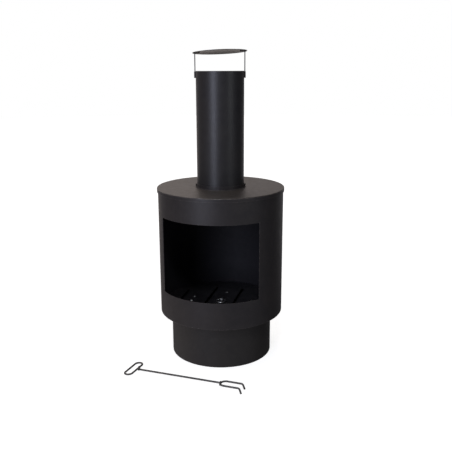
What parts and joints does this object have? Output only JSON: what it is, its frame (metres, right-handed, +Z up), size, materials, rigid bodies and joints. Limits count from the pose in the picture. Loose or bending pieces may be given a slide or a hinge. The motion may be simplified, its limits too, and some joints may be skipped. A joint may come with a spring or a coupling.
{
  "type": "chiminea",
  "caption": "Upright cylindrical steel patio stove: open-fronted drum on a plinth, lift-off lid with chimney and rain cap, loose slotted grate, and a pronged poker lying on the ground.",
  "frame": {"origin": "centre of the plinth's foot, on the ground", "axes": "+Z up along the drum's axis; the mouth faces -Y; +X is to the right when facing the mouth"},
  "size_m": [0.5587, 0.6387, 1.2149],
  "materials": {
    "stove_paint": "satin",
    "lid_paint": "satin",
    "inner_paint": "matt",
    "grate_steel": "matt",
    "zinc": "plated",
    "screw_black": "satin",
    "rod_steel": "dark",
    "poker_steel": "dark"
  },
  "bodies": {
    "stove": {"base_tube": "stove_paint", "base_top_ring": "inner_paint", "base_bolts": "zinc", "base_washers": "zinc", "base_nuts": "zinc", "drum_shell": "stove_paint", "drum_floor": "inner_paint"},
    "grate": {"grate_plate": "grate_steel", "grate_runner_left": "grate_steel", "grate_runner_right": "grate_steel", "grate_foot_front": "grate_steel", "grate_foot_back": "grate_steel", "grate_bolts": "zinc", "grate_nuts": "zinc", "grate_eye": "zinc"},
    "lift_ring": {"grate_ring": "zinc"},
    "top": {"lid_plate": "lid_paint", "lid_rim": "stove_paint", "lid_tabs": "inner_paint", "flue_collar": "stove_paint", "collar_screw_left": "screw_black", "collar_screw_right": "screw_black", "chimney_pipe": "stove_paint", "cap_socket_left": "stove_paint", "cap_socket_right": "stove_paint"},
    "rain_cap": {"cap_disc": "lid_paint", "cap_lug_left": "lid_paint", "cap_lug_right": "lid_paint", "cap_rod_left": "rod_steel", "cap_rod_right": "rod_steel"},
    "poker": {"poker_handle": "poker_steel", "poker_bar": "poker_steel", "poker_fork": "poker_steel"}
  },
  "joints": [
    {"name": "top_lift", "type": "slide", "parent": "stove", "child": "top", "axis": [0, 0, 1], "range_m": [0, 0.3]},
    {"name": "cap_lift", "type": "slide", "parent": "top", "child": "rain_cap", "axis": [0, 0, 1], "range_m": [0, 0.15]},
    {"name": "grate_lift", "type": "slide", "parent": "stove", "child": "grate", "axis": [0, 0, 1], "range_m": [0, 0.4]},
    {"name": "ring_flip", "type": "hinge", "parent": "grate", "child": "lift_ring", "pos_m": [0, 0.012, 0.2058], "axis": [-1, 0, 0], "range_deg": [0, 175]},
    {"name": "poker_lift", "type": "slide", "parent": "stove", "child": "poker", "axis": [0, 0, 1], "range_m": [0, 0.5]}
  ]
}
